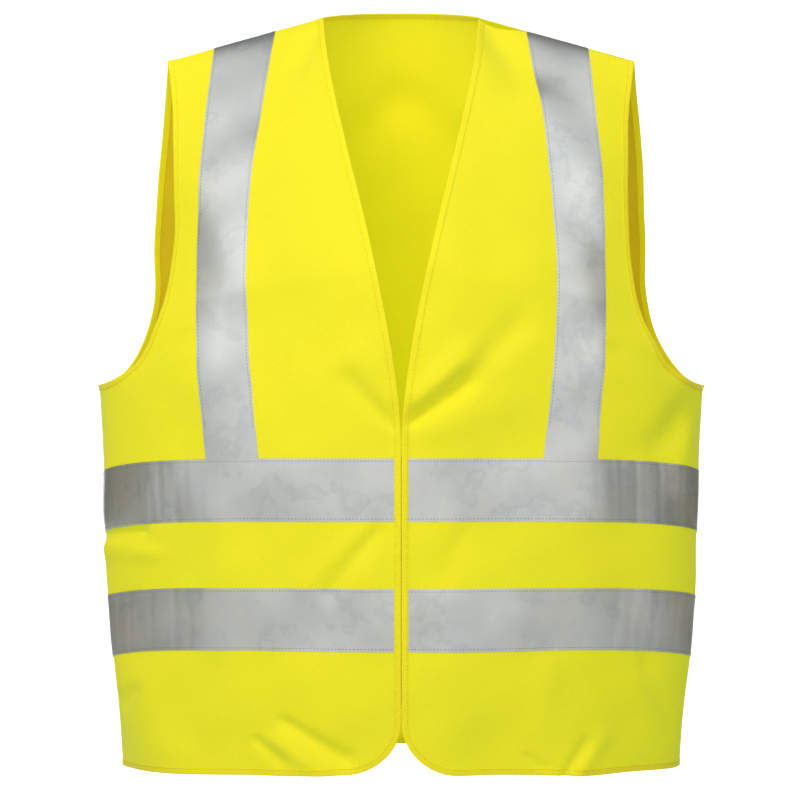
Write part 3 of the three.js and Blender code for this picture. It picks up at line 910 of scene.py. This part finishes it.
def make_bands():
    made = {"left": [], "right": [], "back": []}
    start = BINDING_WIDTH / HALF_WIDTH
    front_t = section_share(np.linspace(section_angle(start), QUARTER - 0.004, 110))
    back_t = section_share(np.linspace(0, QUARTER - 0.004, 110))
    back_t = np.concatenate([-back_t[::-1], back_t[1:]])
    inset = STITCH_INSET / TAPE_WIDTH
    w = np.array([0, inset, 0.2, 0.35, 0.5, 0.65, 0.8, 1 - inset, 1])
    for level, bottom in (("upper", UPPER_BAND), ("lower", LOWER_BAND)):
        for name, hand in HANDS:
            t, rise = np.meshgrid(front_t, w)
            points = cloth("front", band_place("front", bottom), t, rise, hand)
            piece, face = tape_piece(f"{level}_tape_front_{name}", points, hand, f"front_{name}",
                                     f"{level}_band_front_{name}", bottom + hand)
            made[name].append(piece)
            for row in (1, -2):
                keep_stitches(f"front_{name}", face[row], grid_normals(points)[row], hand)
        t, rise = np.meshgrid(back_t, w)
        points = cloth("back", band_place("back", bottom), t, rise)
        piece, face = tape_piece(f"{level}_tape_back", points, 1, "root", f"{level}_band_back", bottom + 5)
        made["back"].append(piece)
        for row in (1, -2):
            keep_stitches("root", face[row], grid_normals(points)[row], 1)
    return made


BRACE_START = (UPPER_BAND + TAPE_WIDTH - BRACE_TUCK) / NECK_HEIGHT


def brace_x(t, v):
    """Distance from the middle at t across a brace, at share v of the height."""
    s = np.clip((v - BRACE_START) / (1 - BRACE_START), 0, 1)
    shares = ((1 - s) ** 2, 2 * s * (1 - s), s * s)
    inner, outer = (sum(share * x for share, x in zip(shares, row)) for row in (BRACE_INNER, BRACE_OUTER))
    return lerp(inner, outer, t)


def front_brace_place(t, v):
    inner_x, _ = inner_edge(v)
    outer_x, _ = outer_edge("front", v)
    return front_place((brace_x(t, v) - inner_x) / (outer_x - inner_x), v)


def back_brace_place(t, v):
    outer_x, _ = outer_edge("back", v)
    return back_place(-brace_x(1 - t, v) / outer_x, v)


def make_braces():
    made = {"left": [], "right": [], "back": []}
    inset = STITCH_INSET / TAPE_WIDTH
    columns = np.array([0, inset, 0.15, 0.3, 0.42, 0.5, 0.58, 0.7, 0.85, 1 - inset, 1])
    rows = 1 - (1 - BRACE_START) * (1 - np.linspace(0, 1, 120)) ** 1.25
    t, v = np.meshgrid(columns, rows)
    for name, hand in HANDS:
        for side, place, body in (("front", front_brace_place, f"front_{name}"),
                                  ("back", back_brace_place, "root")):
            points = cloth(side, place, t, v, hand)
            sunk = smooth((UPPER_BAND + TAPE_WIDTH + 3 - points[..., 2]) / 6)
            normal = grid_normals(points)
            points = points - normal * (TAPE_LIFT * sunk)[..., None]
            piece, face = tape_piece(f"brace_tape_{side}_{name}", points, hand, body,
                                     f"brace_{side}_{name}", 40 + hand)
            made[name if side == "front" else "back"].append(piece)
            for column in (1, -2):
                keep_stitches(body, face[8:, column], normal[8:, column], hand)
    return made


def make_fastener():
    """Loop strip inside the left edge, and the hook strip that reaches over from the right."""
    inner = EDGE + BINDING_WIDTH + STRIP_CLEAR
    outer = inner + STRIP_WIDTH
    for name, body, low_x, high_x, level, look in (
        ("loop_strip_pile", "front_left", inner, outer, LOOP_LEVEL, LOOP_LOOK),
        ("hook_strip_pile", "front_right", -outer, outer, HOOK_LEVEL, HOOK_LOOK),
    ):
        x, z = np.meshgrid(np.linspace(low_x, high_x, 24), np.linspace(STRIP_LOW, STRIP_HIGH, 100))
        points = shape("front", x, z, 1.0, 0.0)
        points = points + grid_normals(points) * folds("front", x, z)[..., None]
        piece = layer(name, points, level - STRIP_THICKNESS, level)
        finish_piece(piece, look, body, name.removesuffix("_pile"))


def make_label():
    """A blank label, held along its upper edge inside the back."""
    angle = QUARTER - (LABEL_FROM_SEAM + np.linspace(0, LABEL_WIDTH, 20)) / DEPTH["back"]
    share, height = np.meshgrid(section_share(angle), np.linspace(LABEL_LOW, LABEL_HIGH, 26))
    x = share * half_width(height, "back")
    points = shape("back", x, height, 1.0, 0.0)
    curl = LABEL_CURL * smooth((70 - height) / 20)
    points = points + grid_normals(points) * (folds("back", x, height) - LABEL_LEVEL - curl)[..., None]
    piece = layer("care_label_cloth", points, -LABEL_THICKNESS / 2, LABEL_THICKNESS / 2)
    finish_piece(piece, LABEL_LOOK, "root", "care_label")


def make_seams():
    """The overlocked side seams inside, which go with the fronts and reach behind the back's edge.

    reach runs from the front to the back of the seam, in the round.
    """
    reach, height = np.meshgrid(np.array([-3.2, -1.6, -0.6, 0.6, 2.6, 4.8, 7.0]),
                                np.linspace(-HEM_SIDE_DROP + 1, UNDERARM_HEIGHT - 2, 140))
    seam = HALF_WIDTH - (UNDERARM_HEIGHT - height) * SEAM_SLOPE
    x = seam - SEAM_INSET - 0.03 * reach * reach
    points = np.stack([x, reach * 0.9, height], -1)
    for name, hand in HANDS:
        piece = layer(f"side_seam_{name}", points, -SEAM_STRIP / 2, SEAM_STRIP / 2, hand)
        finish_piece(piece, EDGE_LOOK, f"front_{name}", None)


# ---------------------------------------------------------------- stitches


def stitch_tree(look):
    """Geometry nodes that lay one stitch at every step along a line."""
    tree = bpy.data.node_groups.new("stitch_run", "GeometryNodeTree")
    sockets = {}
    face = tree.interface
    face.new_socket("Geometry", in_out="INPUT", socket_type="NodeSocketGeometry")
    for label in ("Pitch", "Length", "Thickness"):
        made = face.new_socket(label, in_out="INPUT", socket_type="NodeSocketFloat")
        sockets[label] = made.identifier
    face.new_socket("Geometry", in_out="OUTPUT", socket_type="NodeSocketGeometry")
    add, link = tree.nodes.new, tree.links.new
    source, target = add("NodeGroupInput"), add("NodeGroupOutput")
    curve = add("GeometryNodeMeshToCurve")
    resample = add("GeometryNodeResampleCurve")
    resample.mode = "LENGTH"
    normal = add("GeometryNodeInputNamedAttribute")
    normal.data_type = "FLOAT_VECTOR"
    normal.inputs["Name"].default_value = "way_out"
    tangent = add("GeometryNodeInputTangent")
    first, second = add("FunctionNodeAlignRotationToVector"), add("FunctionNodeAlignRotationToVector")
    first.axis, second.axis, second.pivot_axis = "X", "Z", "X"
    bead = add("GeometryNodeMeshUVSphere")
    bead.inputs["Segments"].default_value = 6
    bead.inputs["Rings"].default_value = 4
    bead.inputs["Radius"].default_value = 0.5
    size = add("ShaderNodeCombineXYZ")
    place = add("GeometryNodeInstanceOnPoints")
    realize = add("GeometryNodeRealizeInstances")
    paint = add("GeometryNodeSetMaterial")
    paint.inputs["Material"].default_value = look
    link(source.outputs["Geometry"], curve.inputs["Mesh"])
    link(curve.outputs["Curve"], resample.inputs["Curve"])
    link(source.outputs["Pitch"], resample.inputs["Length"])
    link(tangent.outputs["Tangent"], first.inputs["Vector"])
    link(first.outputs["Rotation"], second.inputs["Rotation"])
    link(normal.outputs["Attribute"], second.inputs["Vector"])
    link(source.outputs["Length"], size.inputs["X"])
    link(source.outputs["Thickness"], size.inputs["Y"])
    link(source.outputs["Thickness"], size.inputs["Z"])
    link(resample.outputs["Curve"], place.inputs["Points"])
    link(bead.outputs["Mesh"], place.inputs["Instance"])
    link(second.outputs["Rotation"], place.inputs["Rotation"])
    link(size.outputs["Vector"], place.inputs["Scale"])
    link(place.outputs["Instances"], realize.inputs["Geometry"])
    link(realize.outputs["Geometry"], paint.inputs["Geometry"])
    link(paint.outputs["Geometry"], target.inputs["Geometry"])
    return tree, sockets


def make_stitches(body, colour, look):
    """All stitches of one colour on one body, as one plain mesh."""
    vertices, edges, ways = [], [], []
    for points, normal, shade in stitch_lines[body]:
        if shade != colour:
            continue
        first = len(vertices)
        vertices += points.tolist()
        ways += normal.tolist()
        edges += [(k, k + 1) for k in range(first, len(vertices) - 1)]
    data = bpy.data.meshes.new("stitch_path")
    data.from_pydata(vertices, edges, [])
    data.attributes.new("way_out", "FLOAT_VECTOR", "POINT").data.foreach_set("vector", np.ravel(ways))
    source = bpy.data.objects.new("stitch_path", data)
    bpy.context.scene.collection.objects.link(source)
    tree, sockets = stitch_tree(look)
    modifier = source.modifiers.new("stitches", "NODES")
    modifier.node_group = tree
    for label, value in (("Pitch", STITCH_PITCH), ("Length", STITCH_LENGTH),
                         ("Thickness", THREAD_THICKNESS)):
        modifier[sockets[label]] = value * MM
    evaluated = source.evaluated_get(bpy.context.evaluated_depsgraph_get())
    mesh = bpy.data.meshes.new_from_object(evaluated)
    bpy.data.objects.remove(source)
    piece = bpy.data.objects.new(f"stitches_{colour}_{body}", mesh)
    bpy.context.scene.collection.objects.link(piece)
    mesh.polygons.foreach_set("use_smooth", np.ones(len(mesh.polygons), bool))
    follow(piece, body)


# ---------------------------------------------------------------- camera, light and floor

CAMERA_HEIGHT = 296  # above the hem, in millimetres
CAMERA_DISTANCE = 2.73  # metres, as is everything below
FLOOR_DROP = 0.75  # the vest is held this far above the floor
FLOOR_HALF = 9
WALL_PLACE = 3.9  # the backdrop's distance behind the vest
WALL_HALF = 3
WALL_TOP = 2.6
AIM = (0, 0, -0.3)  # the middle of the vest
SIDE_TINT = (1, 0.92, 0.5)


def make_camera():
    data = bpy.data.cameras.new("camera")
    data.sensor_width = 36
    data.lens = 148
    data.clip_end = 50
    camera = bpy.data.objects.new("camera", data)
    bpy.context.scene.collection.objects.link(camera)
    level = (CAMERA_HEIGHT - NECK_HEIGHT) * MM
    camera.location = (-0.001, -CAMERA_DISTANCE, level)
    camera.rotation_euler = (math.radians(90), 0, 0)
    bpy.context.scene.camera = camera


def add_light(name, place, target, width, height, glow, in_gloss=True, tint=(1, 1, 1)):
    """A soft box aimed at target. glow is its brightness, whatever its size.

    in_gloss False keeps it out of reflections.
    """
    data = bpy.data.lights.new(name, "AREA")
    data.shape, data.size, data.size_y = "RECTANGLE", width, height
    data.energy = glow * math.pi * width * height
    data.color = tint
    lamp = bpy.data.objects.new(name, data)
    lamp.visible_glossy = in_gloss
    lamp.visible_camera = False
    bpy.context.scene.collection.objects.link(lamp)
    lamp.location = place
    way = Vector(target) - Vector(place)
    lamp.rotation_euler = way.to_track_quat("-Z", "Y").to_euler()


def stage_plane(name, corners, colour, glow):
    data = bpy.data.meshes.new(name)
    data.from_pydata(corners, [], [(0, 1, 2, 3)])
    plane = bpy.data.objects.new(name, data)
    bpy.context.scene.collection.objects.link(plane)
    shader = Shader(name)
    shader.set(Base_Color=rgba(*colour), Roughness=0.9)
    shader.surface.inputs["Emission Color"].default_value = rgba(1, 1, 1)
    shader.surface.inputs["Emission Strength"].default_value = glow
    data.materials.append(shader.material)


def make_stage():
    floor = CAD_BOX[0][2] - FLOOR_DROP
    far, wide, wall = FLOOR_HALF, WALL_HALF, WALL_PLACE
    corners = [(-far, -far, floor), (far, -far, floor), (far, far, floor), (-far, far, floor)]
    stage_plane("floor", corners, (0.72, 0.72, 0.71), 0.0)
    corners = [(-wide, wall, floor), (wide, wall, floor), (wide, wall, WALL_TOP), (-wide, wall, WALL_TOP)]
    stage_plane("backdrop", corners, (0.9, 0.9, 0.9), 1.0)
    add_light("wide_panel", (0, -3.2, 0.8), AIM, 7.0, 4.2, 0.72)
    for hand in (-1, 1):
        add_light("wing", (hand * 3.0, -1.95, 0.5), AIM, 1.5, 3.2, 0.68)
        add_light("high_wing", (hand * 2.5, -0.95, 1.8), AIM, 2.2, 1.9, 0.66)
        add_light("side_glow", (hand * 3.6, 0.7, 0.3), AIM, 3.0, 3.4, 0.13, tint=SIDE_TINT)
    add_light("key", (-0.55, -1.5, 1.0), (0, 0, -0.25), 0.9, 0.6, 10.2, in_gloss=False)
    add_light("upper_wing", (0, -1.7, 2.8), AIM, 4.6, 2.8, 0.66)
    add_light("back_fill", (0, 2.9, 1.6), AIM, 3.0, 1.6, 1.5)
    world = bpy.data.worlds.new("studio")
    bpy.context.scene.world = world
    world.use_nodes = True
    air = world.node_tree.nodes["Background"].inputs
    air["Color"].default_value = rgba(1.0, 0.99, 0.96)
    air["Strength"].default_value = 0.6
    world.cycles_visibility.glossy = False
    world.cycles_visibility.diffuse = False
    view = bpy.context.scene.view_settings
    view.view_transform = "Standard"
    view.look = "None"
    view.exposure = 0.0


# ---------------------------------------------------------------- assembly

make_camera()
panels = make_panels()
bindings = make_bindings()
bands = make_bands()
braces = make_braces()
make_fastener()
make_label()
make_seams()
for body in stitch_lines:
    make_stitches(body, "grey", GREY_THREAD)
    make_stitches(body, "yellow", YELLOW_THREAD)

make_stage()
